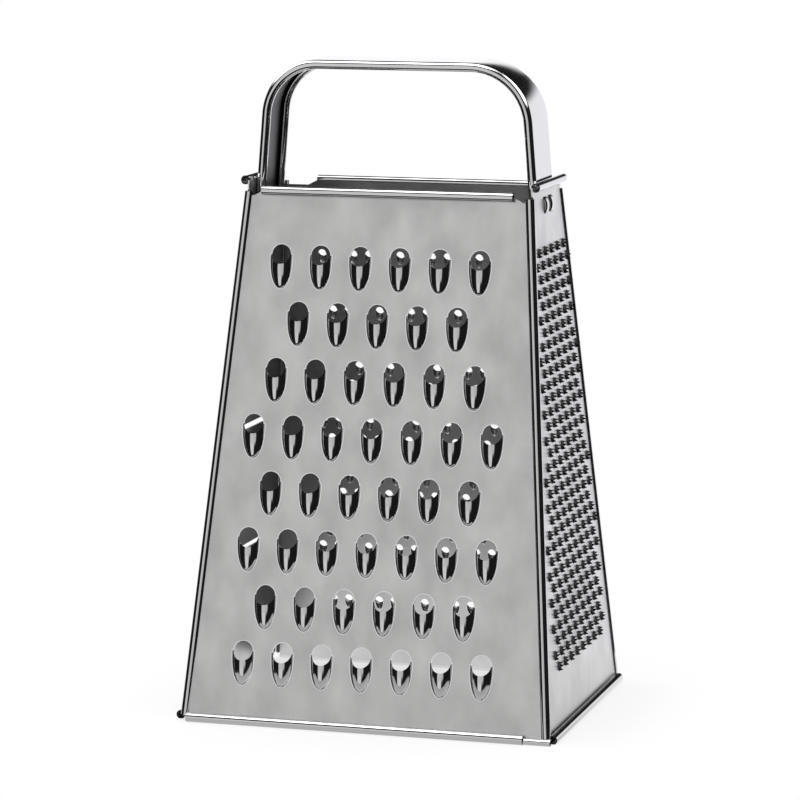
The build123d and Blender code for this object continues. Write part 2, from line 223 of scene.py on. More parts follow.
# %% [markdown]
# Pressed stamps.
# A press tool cuts and lifts the sheet in one blow, and it does so the same way at every place. So one
# stamp is enough for each pattern: the mesh of what was lifted, and the ring on the flat sheet that it
# stands in. Both skins of the sheet are there, because a grater is looked into from above and below.


# %% Stamp helpers
class Stamp:
    """What one blow of the tool makes: the worked metal and its ring on the flat sheet."""

    def __init__(self, metal, ring):
        self.metal = metal
        self.ring = ring


def down(points):
    """The same points on the lower skin of the sheet."""
    return [p - Vector((0, 0, sheet)) for p in points]


def skins(metal, rows, work=drawn):
    """Both skins of a lifted grid, the lower one a sheet's thickness below."""
    metal.grid(rows, work=work)
    metal.grid([down(row) for row in rows], flip=True, work=work)


def cut_edge(metal, line, work=drawn):
    """The cut edge of the sheet along a line of its upper skin."""
    metal.grid([line, down(line)], work=work)


def painted_light_band(metal, ring, width, work):
    """A narrow flat band round a ring that carries painted light: a painted highlight round a tooth and a
    painted shade round a star. It returns the ring widened by the band.
    """
    count = len(ring)
    wider = []
    for i in range(count):
        before, here, after = ring[i - 1], ring[i], ring[(i + 1) % count]
        one = (here - before).normalized()
        two = (after - here).normalized()
        out = Vector((one.y + two.y, -one.x - two.x, 0)).normalized()
        mitre = math.sqrt((1 + one.dot(two)) / 2)
        wider.append(here + out * width / max(sharpest_mitre, mitre))
    skins(metal, [wider + wider[:1], ring + ring[:1]], work=work)
    return wider


sharpest_mitre = 0.5
print("stamp helpers ready")


# %% Stamp of a hooded tooth
def hood_stamp(hole_radius, half_hood, height, length, band, along, across, around):
    """A round hole whose lower half is lifted into a bullet-shaped hood. The origin is the hole's middle."""
    reach = length - hole_radius
    arch = math.asin(2 * half_hood * height / (half_hood**2 + height**2))

    def half_width(share):
        return half_hood * math.sqrt(max(0.0, 1 - share**foot_power))

    def ridge(share):
        return height * math.sqrt(max(0.0, 1 - share**ridge_power))

    def column(i):
        angle = arch * (2 * i / across - 1)
        v = math.sin(angle) / math.sin(arch)
        bulge = (math.cos(angle) - math.cos(arch)) / (1 - math.cos(arch))
        # The hood narrows as it leaves the hole, so the share where it starts is found in a few tries.
        start = 0.0
        for _ in range(3):
            start = math.sqrt(max(0.0, hole_radius**2 - (v * half_width(start)) ** 2)) / reach
        shares = [start + (1 - start) * math.sin(math.pi / 2 * j / along) for j in range(along + 1)]
        return [Vector((v * half_width(s), -s * reach, bulge * ridge(s))) for s in shares]

    columns = [column(i) for i in range(across + 1)]
    rows = [list(row) for row in zip(*columns)]
    metal = Metal()
    skins(metal, rows)
    cut_edge(metal, rows[0])
    upper = [Vector(p) for p in arc((0, 0), hole_radius, 0, 180, around)]
    first, last = columns[0], columns[-1]
    cut_edge(metal, [last[0]] + upper + [first[0]])
    # The band round the hole and the hood is a painted highlight, lighter than the sheet.
    return Stamp(metal, painted_light_band(metal, upper + first + last[-2::-1], band, painted_highlight))


foot_power = 2.5
ridge_power = 2.0
coarse_hole_radius = 0.0035
fine_hole_radius = 0.0014
coarse_hood = {"half_hood": 0.0040, "height": 0.0022, "length": 0.0155, "band": 0.0003}
fine_hood = {"half_hood": 0.00155, "height": 0.0009, "length": 0.0052, "band": 0.00015}
coarse_stamp = hood_stamp(coarse_hole_radius, **coarse_hood, along=12, across=16, around=16)
fine_stamp = hood_stamp(fine_hole_radius, **fine_hood, along=3, across=4, around=6)
print("faces of a coarse and a fine tooth", len(coarse_stamp.metal.faces), len(fine_stamp.metal.faces))

# %% [markdown]
# Star points.
# The rasp side is pierced from inside with a square punch. The metal tears into four petals that stand up
# round a small hole, and their tips do the rubbing. A cone would look too tidy, so the ring of petals
# goes in and out between tips and tears.


# %% Stamp of a star
def star_stamp(radius, mouth, tip_height, torn_height, petals, band):
    """Torn petals round a small hole. The origin is the hole's middle."""
    base, rim = [], []
    for i in range(2 * petals):
        angle = math.pi / 2 + math.pi * i / petals
        is_tip = i % 2 == 0
        reach = radius if is_tip else radius * torn_share
        base.append(Vector((reach * math.cos(angle), reach * math.sin(angle), 0)))
        wide = mouth if is_tip else mouth * torn_share
        height = tip_height if is_tip else torn_height
        rim.append(Vector((wide * math.cos(angle), wide * math.sin(angle), height)))
    metal = Metal()
    # The petals and the band round them are rough, and painted nearly black: a painted shade for the hole
    # and the shadows between the petals.
    skins(metal, [base + base[:1], rim + rim[:1]], work=torn_painted_shade)
    cut_edge(metal, rim + rim[:1], work=torn_painted_shade)
    return Stamp(metal, painted_light_band(metal, base, band, torn_painted_shade))


torn_share = 0.62
star_heights = {"tip_height": 0.0015, "torn_height": 0.0004}
rasp_stamp = star_stamp(radius=0.0017, mouth=0.0013, **star_heights, petals=4, band=0.00025)
print("star stamp faces", len(rasp_stamp.metal.faces))

# %% [markdown]
# Slicing blades.
# A slicing blade is one long lifted edge. Its ramp runs down into the sheet, and the slot above it lets
# the slice through. The ends of the ramp are drawn down in a smooth curve, so that the sheet doesn't tear
# there.


# %% Stamp of a blade
def blade_stamp(half_blade, opening, rise, apron, shoulder, corner, across, along):
    """A slot with a raised edge below it. The origin is the middle of the edge."""

    def lift(x):
        share = min(1.0, (half_blade - abs(x)) / shoulder)
        return share * share * (3 - 2 * share)

    def column(x):
        steps = [j / along for j in range(along + 1)]
        return [Vector((x, -t * apron, rise * lift(x) * (1 - t * t * (3 - 2 * t)))) for t in steps]

    ends = [half_blade - shoulder * (1 - math.cos(math.pi / 2 * i / across)) for i in range(across + 1)]
    xs = [-x for x in ends] + ends[::-1]
    columns = [column(x) for x in xs]
    rows = [list(row) for row in zip(*columns)]
    metal = Metal()
    skins(metal, rows)
    cut_edge(metal, rows[0])
    turn = (half_blade - corner, opening - corner)
    slot_end = [Vector(p) for p in arc(turn, corner, 0, 90, across)]
    other_end = [Vector((-p.x, p.y, 0)) for p in reversed(slot_end)]
    slot = [columns[-1][0]] + slot_end + other_end + [columns[0][0]]
    cut_edge(metal, slot)
    ring = slot + columns[0][1:] + rows[-1][1:-1] + columns[-1][:0:-1]
    return Stamp(metal, ring)


print("blade stamp ready")

# %% Stamp of a clinch slot
clinch_height = 0.0062
clinch_width = 0.0026
clinch_pitch = 0.0072
clinch_bulge = 0.0012
clinch_slit = 0.0003
clinch_drop = 0.0041


def slot_stamp(half_width, half_height):
    """A plain rectangular opening."""
    corners = [(half_width, -half_height), (half_width, half_height)]
    corners += [(-x, y) for x, y in reversed(corners)]
    ring = [Vector((x, y, 0)) for x, y in corners]
    metal = Metal()
    cut_edge(metal, ring + ring[:1])
    return Stamp(metal, ring)


half_slot = clinch_width / 2 + clinch_slit
clinch_stamp = slot_stamp(half_slot, clinch_height / 2)
print("clinch slot", round(2000 * half_slot, 2), "by", 1000 * clinch_height, "mm")

# %% [markdown]
# Patterns.
# Each press tool walks over the sheet in staggered rows, and a row holds as many blows as the taper
# leaves room for. A list of places is all that a pattern needs. The rasp's tool is wider spaced than its
# sheet asks for near the top, so its rows widen only at three places.


# %% Places of the patterns
def staggered(wall, first, row_pitch, rows, pitch, margin, even_first, shift=0.0, widest=None):
    """Places of staggered rows, from the first one down, that fill the width between the margins."""
    places = []
    for row in range(rows):
        y = first - row * row_pitch
        offset = 0.5 if (row % 2 == 0) == even_first else 0.0
        room = wall.span(y) - margin
        if widest:
            room = min(room, widest(row + 1) * pitch / 2)
        most = int(room / pitch + 2)
        xs = [(i + offset) * pitch for i in range(-most, most)]
        places += [(x + shift, y) for x in xs if abs(x) <= room]
    return places


def star_room(row):
    """Gaps between the outermost stars of the widest row so far."""
    return fewest_star_gaps + sum(row >= wider for wider in wider_star_rows)


front, right, back, left = (walls[side] for side in ("front", "right", "back", "left"))
coarse_drop = 0.0188
fine_drop = 0.0203
star_drop = 0.0197
fewest_star_gaps = 5
wider_star_rows = (9, 18, 23)
coarse_first = front.up(crown_axis) - coarse_drop - coarse_hole_radius
fine_first = back.up(crown_axis) - fine_drop
star_first = right.up(crown_axis) - star_drop
coarse_rows = {"row_pitch": 0.0199, "rows": 8, "pitch": 0.0144, "margin": 0.0125, "even_first": True}
coarse_shift = -0.0016
fine_rows = {"row_pitch": 0.00705, "rows": 22, "pitch": 0.0059, "margin": 0.0135, "even_first": False}
star_rows = {"row_pitch": 0.0046, "rows": 32, "pitch": 0.0086, "margin": 0.0024, "even_first": False}
coarse_places = staggered(front, coarse_first, **coarse_rows, shift=coarse_shift)
fine_places = staggered(back, fine_first, **fine_rows)
star_places = staggered(right, star_first, **star_rows, widest=star_room)
clinch_row = right.up(crown_axis - clinch_drop)
clinch_places = [(side * clinch_pitch / 2, clinch_row) for side in (-1, 1)]
print("teeth", len(coarse_places), "fine teeth", len(fine_places), "stars", len(star_places))

# %% [markdown]
# The press, in Geometry Nodes.
# One node tree presses every sheet. It stands the stamp and its ring at each place, fills the flat sheet
# round all the rings, lays a second skin a sheet's thickness below, and welds everything into one closed
# surface. Doing it with booleans would take minutes and leave ragged edges, while filling flat curves is
# exact and quick.


# %% Node helpers
def new_tree(name, inputs, output):
    """A geometry tree with these inputs and one output, and the node that hands the inputs on."""
    tree = bpy.data.node_groups.new(name, "GeometryNodeTree")
    for title, kind in inputs.items():
        tree.interface.new_socket(name=title, in_out="INPUT", socket_type=kind)
    tree.interface.new_socket(name=output, in_out="OUTPUT", socket_type="NodeSocketGeometry")
    return tree, tree.nodes.new("NodeGroupInput")


def shape_of(tree, thing):
    """The geometry of an object that a tree was given."""
    info = tree.nodes.new("GeometryNodeObjectInfo")
    tree.links.new(thing, info.inputs["Object"])
    return info.outputs["Geometry"]


def maths_in(tree, operation, *values):
    """The output of a new maths node, whose inputs are numbers or the outputs of other nodes."""
    node = tree.nodes.new("ShaderNodeMath")
    node.operation = operation
    for socket, value in zip(node.inputs, values):
        if isinstance(value, (int, float)):
            socket.default_value = value
        else:
            tree.links.new(value, socket)
    return node.outputs["Value"]


print("node helpers ready")


# %% The press tree
def press_tree():
    """Node tree: points in, pressed sheet out."""
    inputs = {
        "Places": "NodeSocketGeometry",
        "Outline": "NodeSocketObject",
        "Ring": "NodeSocketObject",
        "Stamp": "NodeSocketObject",
        "Fixed": "NodeSocketObject",
        "Sheet": "NodeSocketFloat",
        "Steel": "NodeSocketMaterial",
    }
    tree, given = new_tree("press", inputs, "Pressed")
    node, link = tree.nodes.new, tree.links.new

    def copies_of(socket):
        copies = node("GeometryNodeInstanceOnPoints")
        link(given.outputs["Places"], copies.inputs["Points"])
        link(shape_of(tree, given.outputs[socket]), copies.inputs["Instance"])
        return copies.outputs["Instances"]

    rings = node("GeometryNodeRealizeInstances")
    link(copies_of("Ring"), rings.inputs["Geometry"])
    curves = node("GeometryNodeJoinGeometry")
    link(shape_of(tree, given.outputs["Outline"]), curves.inputs["Geometry"])
    link(rings.outputs["Geometry"], curves.inputs["Geometry"])
    flat = node("GeometryNodeFillCurve")
    link(curves.outputs["Geometry"], flat.inputs["Curve"])
    depth = node("ShaderNodeCombineXYZ")
    link(maths_in(tree, "MULTIPLY", given.outputs["Sheet"], -1.0), depth.inputs["Z"])
    lower = node("GeometryNodeSetPosition")
    link(flat.outputs["Mesh"], lower.inputs["Geometry"])
    link(depth.outputs["Vector"], lower.inputs["Offset"])
    turned = node("GeometryNodeFlipFaces")
    link(lower.outputs["Geometry"], turned.inputs["Mesh"])
    together = node("GeometryNodeJoinGeometry")
    fixed = shape_of(tree, given.outputs["Fixed"])
    for part in (flat.outputs["Mesh"], turned.outputs["Mesh"], copies_of("Stamp"), fixed):
        link(part, together.inputs["Geometry"])
    real = node("GeometryNodeRealizeInstances")
    link(together.outputs["Geometry"], real.inputs["Geometry"])
    weld = node("GeometryNodeMergeByDistance")
    weld.inputs["Distance"].default_value = weld_distance
    link(real.outputs["Geometry"], weld.inputs["Geometry"])
    steel = node("GeometryNodeSetMaterial")
    link(weld.outputs["Geometry"], steel.inputs["Geometry"])
    link(given.outputs["Steel"], steel.inputs["Material"])
    result = node("NodeGroupOutput")
    link(steel.outputs["Geometry"], result.inputs["Pressed"])
    return tree


weld_distance = 0.000002
press = press_tree()
print("press tree nodes", len(press.nodes))


# %% Pressing a sheet
def grown(thing, tree, values):
    """Runs a node tree on an object with these named values, and leaves the result as its plain mesh."""
    modifier = thing.modifiers.new("grow", "NODES")
    modifier.node_group = tree
    for item in tree.interface.items_tree:
        if item.in_out == "INPUT" and item.name in values:
            modifier[item.identifier] = values[item.name]
    seen = thing.evaluated_get(bpy.context.evaluated_depsgraph_get())
    mesh = bpy.data.meshes.new_from_object(seen)
    bpy.data.objects.remove(thing)
    return mesh


def pressed_sheet(name, outline, stamp, places, fixed, steel):
    """The mesh of a pressed sheet, lying flat. Fixed holds single stamps with a place of their own."""
    edge = [Vector((x, y, 0)) for x, y in outline]
    extra = Metal()
    cut_edge(extra, edge + edge[:1])
    loops = [[tuple(p.xy) for p in edge]]
    for one, (x, y) in fixed:
        extra.join(one.metal, (x, y, 0))
        loops.append([(p.x + x, p.y + y) for p in one.ring])
    tools = [
        curve_object(f"{name}_outline", loops),
        curve_object(f"{name}_ring", [[tuple(p.xy) for p in stamp.ring]]),
        metal_object(f"{name}_stamp", stamp.metal),
        metal_object(f"{name}_fixed", extra),
    ]
    points = mesh_object(f"{name}_places", [(x, y, 0) for x, y in places], [])
    values = dict(zip(("Outline", "Ring", "Stamp", "Fixed"), tools))
    mesh = grown(points, press, {**values, "Sheet": sheet, "Steel": steel})
    for tool in tools:
        bpy.data.objects.remove(tool)
    print(name, "faces", len(mesh.polygons))
    return mesh


# %% [markdown]
# Curls and rims.
# A lock seam is two curled edges, one inside the other, and it is what holds the corners without a weld.
# A rim is the same sheet rolled outward into an open tube. Both have one section all along, so two copies
# of the section and the faces between them are enough.

# %% Curls and rims
rim_turn = 300
seam_radius = 0.0017
seam_gap = 0.00003
seam_foot_rise = 0.00075
seam_head_drop = 0.0006
hook_radius = seam_radius - sheet - seam_gap
hook_turn = 230
seam_start = 180 - math.degrees(math.asin(seam_step / seam_radius))
seam_turn = seam_start + math.degrees(math.acos((seam_step + seam_gap) / (seam_radius - sheet)))
rim_steps = 36
seam_steps = 28


def edge_inset(radius):
    """How far inside the seam axis a panel's edge starts to curl."""
    return math.sqrt(radius**2 - seam_step**2)


def rim(wall, line, first_x, last_x, radius, upward):
    """A rolled rim from first_x to last_x, leaving the sheet at y = line."""
    turn = -rim_turn if upward else rim_turn

    def section(r):
        return [(0, line + y, z) for z, y, _ in arc((radius - sheet, 0), r, 180, 180 + turn, rim_steps)]

    ends = [Matrix.Translation((x, 0, 0)) for x in (first_x, last_x)]
    return strip_between(section(radius), section(radius - sheet), ends).place(wall.matrix)


def seam_curls(wall, radius, turn):
    """Both upright curls of a wall, as strips along the slanted seam axes."""
    face_in = seam_step - sheet / math.cos(wall.lean)
    start = 180 - math.degrees(math.asin(seam_step / radius))
    start_in = 180 - math.degrees(math.asin(face_in / (radius - sheet)))
    outer = arc((0, 0), radius, start, start - turn, seam_steps)
    inner = [(outer[0][0], face_in, 0)]
    inner += arc((0, 0), radius - sheet, start_in, start - turn, seam_steps - 1)
    curls = Metal()
    for side in (1, -1):
        ends = []
        for rise in (seam_foot_rise, body_rise - seam_head_drop):
            span = wall.half_span - wall.span_slope * rise
            out = wall.seam_out - wall.out_slope * rise
            ends.append(wall.turn @ Matrix.Translation((side * span, -out, floor_axis + rise)))
        sections = [[(side * x, -y, 0) for x, y, _ in line] for line in (outer, inner)]
        curls.join(strip_between(*sections, ends))
    return curls


print("curls turn", round(seam_turn), "and", hook_turn, "degrees")

# %% [markdown]
# Clinched joints.
# The handle has no rivets. Two short bridges are pressed out of the side panel and the leg behind it
# together, and because they are nested, neither sheet can slide. Each bridge is a small arched strip over
# a slot.


# %% Clinch bridges
def bridges(wall, face, thickness):
    """Two arched strips over slots, in a sheet whose outer face stands at z = face in the wall's frame."""
    half = clinch_height / 2
    radius = (half**2 + clinch_bulge**2) / 2 / clinch_bulge
    reach = math.degrees(math.asin(half / radius))
    centre = (clinch_row, face + clinch_bulge - radius)
    section = [(0, y, z) for y, z, _ in arc(centre, radius, 90 - reach, 90 + reach, bridge_steps)]
    lower = [(0, y, z - thickness) for _, y, z in section]
    both = Metal()
    for x, _ in clinch_places:
        ends = [Matrix.Translation((x + side * clinch_width / 2, 0, 0)) for side in (-1, 1)]
        both.join(strip_between(section, lower, ends).place(wall.matrix))
    return both


bridge_steps = 12
print("bridges stand", clinch_bulge * 1000, "mm proud")

# %% [markdown]
# Panel outlines.
# The flat sheets aren't plain trapezoids. Beside a top rim the corner is cut away, so that the next panel
# can curl past it, and the front panel's foot runs out to the corner under the bead on the rasp side.


# %% Outlines
def plain_edge(wall, radius):
    """The right edge as corners from the bottom rim to the top rim."""
    return [(wall.span(y) - edge_inset(radius), y) for y in (wall.foot, wall.head)]


def mirrored(points):
    """Corners of the left edge, from those of the right one."""
    return [(-x, y) for x, y in reversed(points)]


def notched(wall, edge, rim_inset):
    """A right edge with its top corner cut down beside a shorter top rim."""
    low = wall.head - notch_drop
    shoulder = wall.span(low) - edge_inset(seam_radius)
    rim_end = wall.span(wall.head) - rim_inset
    corner = min(rim_end + notch_run, shoulder)
    steps = [(shoulder, low)] + [(corner, low)] * (corner < shoulder) + [(rim_end, wall.head)]
    return edge[:-1] + steps


def stubbed(wall, edge):
    """A right edge whose foot goes down and out to the corner, for the tighter curl there."""
    stub_foot = wall.rim_line(stub_radius - foot_flat, stub_radius)
    rim_end = wall.span(wall.foot) - short_rim_inset
    corner = wall.span(wall.foot) + stub_overhang
    under_seam = wall.up(floor_axis + seam_foot_rise) - seam_gap
    start = [(rim_end, wall.foot), (rim_end, stub_foot), (corner, stub_foot), (corner, under_seam)]
    return start + [(wall.span(under_seam) - edge_inset(seam_radius), under_seam)] + edge[1:]


def flared(wall, edge):
    """A right edge that widens to the seam axis above the seam."""
    low = wall.up(crown_axis)
    high = wall.up(crown_axis + side_head_flare)
    top = [(wall.span(high), high), (wall.span(wall.head), wall.head)]
    return [edge[0], (wall.span(low) - edge_inset(hook_radius), low)] + top


notch_run = 0.0035
notch_drop = 0.0018
side_head_flare = 0.0012
stub_radius = 0.0011
stub_overhang = 0.0019
short_rim_inset = 0.0077
crown_rim_inset = 0.0054
far_crown_rim_inset = 0.0120
base_rim_inset = 0.0012
side_base_rim_inset = 0.0010
front_edge = plain_edge(front, seam_radius)
front_corners = notched(front, front_edge, crown_rim_inset)
print("front edge in mm", [[round(1000 * v, 1) for v in corner] for corner in front_corners])

# %% [markdown]
# Colours and finishes.
# The sheets are bright-annealed stainless steel. Rolling leaves a satin surface with cloudy spots and a
# faint grain. Where the metal was drawn over a die it is smoother and shows sharp reflections. The narrow
# band round each tooth carries a painted highlight, and the torn points of the rasp and the cut ends of
# the strips are rough and painted nearly black as shade. The inside of the handle was never polished, so
# it stays dull, and it is painted dark as shade. One recipe makes both steels: noise moves the tone and
# the roughness, and the work attribute of each face picks the finish and the painted light.

# %% Finishes
# The clouds move a steel's tone and its satin between these shares of their own values.
cloud_tones = (0.87, 1.05)
cloud_satins = (1.1, 0.9)
noise_range = (0.3, 0.7)
# These tones are painted light: a painted highlight on the band round each tooth, and painted shade on the
# torn faces and on the inside of the handle.
painted_light_tones = {painted_highlight: 0.92, torn_painted_shade: 0.04, dull_painted_shade: 0.12}
worked_roughness = {torn_painted_shade: 0.5, dull_painted_shade: 0.4}
burnished = 0.09
grain_size = 0.0006
print("tones of worked metal", painted_light_tones)


# %% Steel recipe
def steel(name, tone, satin, cloud_size, grain_depth):
    """Bare steel: cloudy satin where it was only rolled, smoother where it was drawn, rougher where it was
    torn or left unpolished, and painted highlight and painted shade where the work attribute marks them.
    """
    material = bpy.data.materials.new(name)
    material.use_nodes = True
    tree = material.node_tree
    nodes, link = tree.nodes, tree.links.new
    shader = nodes["Principled BSDF"]
    shader.inputs["Metallic"].default_value = 1.0
    place = nodes.new("ShaderNodeTexCoord")

    def noise(size, detail, stretch):
        mapping = nodes.new("ShaderNodeMapping")
        mapping.inputs["Scale"].default_value = stretch
        link(place.outputs["Object"], mapping.inputs["Vector"])
        texture = nodes.new("ShaderNodeTexNoise")
        texture.inputs["Scale"].default_value = 1 / size
        texture.inputs["Detail"].default_value = detail
        link(mapping.outputs["Vector"], texture.inputs["Vector"])
        return texture.outputs["Fac"]

    def between(value, low, high):
        moved = nodes.new("ShaderNodeMapRange")
        moved.inputs["From Min"].default_value, moved.inputs["From Max"].default_value = noise_range
        moved.inputs["To Min"].default_value = low
        moved.inputs["To Max"].default_value = high
        link(value, moved.inputs["Value"])
        return moved.outputs["Result"]

    def mixed(kind, share, a, b):
        node = nodes.new("ShaderNodeMix")
        node.data_type = kind
        for socket, value in (("Factor", share), ("A", a), ("B", b)):
            target = [one for one in node.inputs if one.name == socket and one.enabled][0]
            if isinstance(value, (float, tuple)):
                target.default_value = value
            else:
                link(value, target)
        return [one for one in node.outputs if one.enabled][0]

    work = nodes.new("ShaderNodeAttribute")
    work.attribute_name = "work"

    def worked(kind):
        return maths_in(tree, "COMPARE", work.outputs["Fac"], kind, 0.25)

    def grey(value):
        return (value, value, value, 1.0)

    clouds = noise(cloud_size, detail=4.0, stretch=(1, 1, 0.7))
    colour = mixed("RGBA", between(clouds, 0.0, 1.0), *[grey(tone * share) for share in cloud_tones])
    # Painted light: the band round each tooth is lighter, and the torn faces and the handle's inner side are
    # dark as shade.
    for kind, value in {drawn: tone, **painted_light_tones}.items():
        colour = mixed("RGBA", worked(kind), colour, grey(value))
    link(colour, shader.inputs["Base Color"])
    roughness = between(clouds, *[satin * share for share in cloud_satins])
    for kind, value in {drawn: burnished, **worked_roughness}.items():
        roughness = mixed("FLOAT", worked(kind), roughness, value)
    link(roughness, shader.inputs["Roughness"])
    bump = nodes.new("ShaderNodeBump")
    bump.inputs["Distance"].default_value = grain_depth
    link(noise(grain_size, detail=2.0, stretch=(1, 1, 0.25)), bump.inputs["Height"])
    link(bump.outputs["Normal"], shader.inputs["Normal"])
    return material


panel_steel = steel("panel_steel", tone=0.66, satin=0.32, cloud_size=0.012, grain_depth=0.000004)
handle_steel = steel("handle_steel", tone=0.68, satin=0.16, cloud_size=0.015, grain_depth=0.000002)
print("steels", panel_steel.name, handle_steel.name)

# %% [markdown]
# Putting a panel together.
# A panel is one sheet on the real object, so its plate, curls, rims and bridges become one mesh. The flat
# faces are shaded flat and the drawn ones smooth, because a flat face that shared its corners' light with
# a hood would look bent. How each face was worked, and which faces get a painted highlight and painted
# shade, goes along as an attribute, for the steel to read.

# %% Panel builder
sharp_angle = math.radians(35)


def dressed(mesh, works, is_round, name):
    """Shades the round faces smooth and the others flat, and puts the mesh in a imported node's place."""
    mesh.set_sharp_from_angle(angle=sharp_angle)
    mesh.polygons.foreach_set("use_smooth", is_round)
    attribute = mesh.attributes.get("work") or mesh.attributes.new("work", "INT", "FACE")
    attribute.data.foreach_set("value", works)
    piece = bpy.data.objects.new(f"{name}_metal", mesh)
    bpy.context.scene.collection.objects.link(piece)
    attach(piece, "root")
    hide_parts(name)
    print(name, "faces", len(mesh.polygons))


def panel(name, wall, flat_mesh, extras):
    """Joins a pressed sheet with its curls, rims and bridges, where the panel stands."""
    works = [item.value for item in flat_mesh.attributes["work"].data]
    flat_mesh.transform(wall.matrix)
    body = bmesh.new()
    body.from_mesh(flat_mesh)
    for extra in extras:
        corners = [body.verts.new(p) for p in extra.points]
        for face in extra.faces:
            body.faces.new([corners[i] for i in face])
        works += extra.works
    for corner in body.verts:
        corner.co.z = max(corner.co.z, 0.0)
    bmesh.ops.recalc_face_normals(body, faces=body.faces)
    mesh = bpy.data.meshes.new(f"{name}_metal")
    body.to_mesh(mesh)
    body.free()
    bpy.data.meshes.remove(flat_mesh)
    mesh.materials.append(panel_steel)
    dressed(mesh, works, [work in (drawn, torn_painted_shade) for work in works], name)


# %% [markdown]
# The front panel.
# This is the side that faces the buyer: fifty big shredding teeth in eight staggered rows. The bottom rim
# is cut short on the rasp side and goes on to the corner as a tighter curl.

# %% Front panel
head_end = front.span(front.head) - crown_rim_inset
foot_end = front.span(front.foot) - base_rim_inset
foot_stop = front.span(front.foot) - short_rim_inset
stub_line = front.rim_line(stub_radius - foot_flat, stub_radius)
front_outline = notched(front, stubbed(front, front_edge), crown_rim_inset) + mirrored(front_corners)
front_extras = [
    seam_curls(front, seam_radius, seam_turn),
    rim(front, front.head, -head_end, head_end, rim_radius, True),
    rim(front, front.foot, -foot_end, foot_stop, rim_radius, False),
    rim(front, stub_line, foot_stop, front.span(front.foot) + stub_overhang, stub_radius, False),
]
front_flat = pressed_sheet("front", front_outline, coarse_stamp, coarse_places, [], panel_steel)
panel("front_panel", front, front_flat, front_extras)

# %% [markdown]
# The back panel.
# The fine side, with small teeth for zest and hard cheese. Its top rim stops early at the slicing side.

# %% Back panel
back_edge = plain_edge(back, seam_radius)
back_outline = notched(back, back_edge, far_crown_rim_inset)
back_outline += mirrored(notched(back, back_edge, crown_rim_inset))
back_extras = [
    seam_curls(back, seam_radius, seam_turn),
    rim(back, back.head, -head_end, back.span(back.head) - far_crown_rim_inset, rim_radius, True),
    rim(back, back.foot, -foot_end, foot_end, rim_radius, False),
]
back_flat = pressed_sheet("back", back_outline, fine_stamp, fine_places, [], panel_steel)
panel("back_panel", back, back_flat, back_extras)

# %% [markdown]
# The side panels.
# Both narrow sides are cut and rolled alike and differ only in what is pressed into them. Their top rims
# stand higher than the front one, and their edges carry the hooks that the front and back edges curl
# round.


# %% Side panels
def side_extras(wall):
    """Hooks, rims and bridges of a side panel."""
    head = wall.span(wall.head)
    foot = wall.span(wall.foot) - side_base_rim_inset
    return [
        seam_curls(wall, hook_radius, hook_turn),
        rim(wall, wall.head, -head, head, rim_radius, True),
        rim(wall, wall.foot, -foot, foot, rim_radius, False),
        bridges(wall, 0, sheet),
    ]


def side_outline(wall):
    """Corners of a side panel, all the way round."""
    edge = flared(wall, plain_edge(wall, hook_radius))
    return edge + mirrored(edge)


clinches = [(clinch_stamp, place) for place in clinch_places]
right_flat = pressed_sheet("right", side_outline(right), rasp_stamp, star_places, clinches, panel_steel)
panel("right_panel", right, right_flat, side_extras(right))

# %% [markdown]
# The slicing side.
# Three blades cut slices, and each is as wide as the taper leaves room for, so each gets a stamp of its
# own. The press tree lays the top one, and the others go in with the slots for the bridges.

# %% Slicing side
first_blade_drop = 0.0440
blade_pitch = 0.0460
blade_margin = 0.0100


def blade_at(y):
    """The stamp of the blade that fits the width at y."""
    half_blade = left.span(y) - blade_margin
    sizes = {"opening": 0.0034, "rise": 0.0022, "apron": 0.0100, "shoulder": 0.0025, "corner": 0.0012}
    return blade_stamp(half_blade, **sizes, across=6, along=8)


blade_places = [(0, left.up(crown_axis) - first_blade_drop - i * blade_pitch) for i in range(3)]
top_blade, *lower_blades = [(blade_at(place[1]), place) for place in blade_places]
left_cuts = clinches + lower_blades
left_flat = pressed_sheet("left", side_outline(left), top_blade[0], blade_places[:1], left_cuts, panel_steel)
panel("left_panel", left, left_flat, side_extras(left))

# %% [markdown]
# The handle.
# One strip of thicker steel makes the whole handle. Its edges are curled inward, which makes it stiff and
# kind to the hand, and it is then bent over a form. So its section follows a path with two rounded
# corners: a second node tree rounds the corners of the path, runs the section along it, and cuts the
# slots for the bridges.


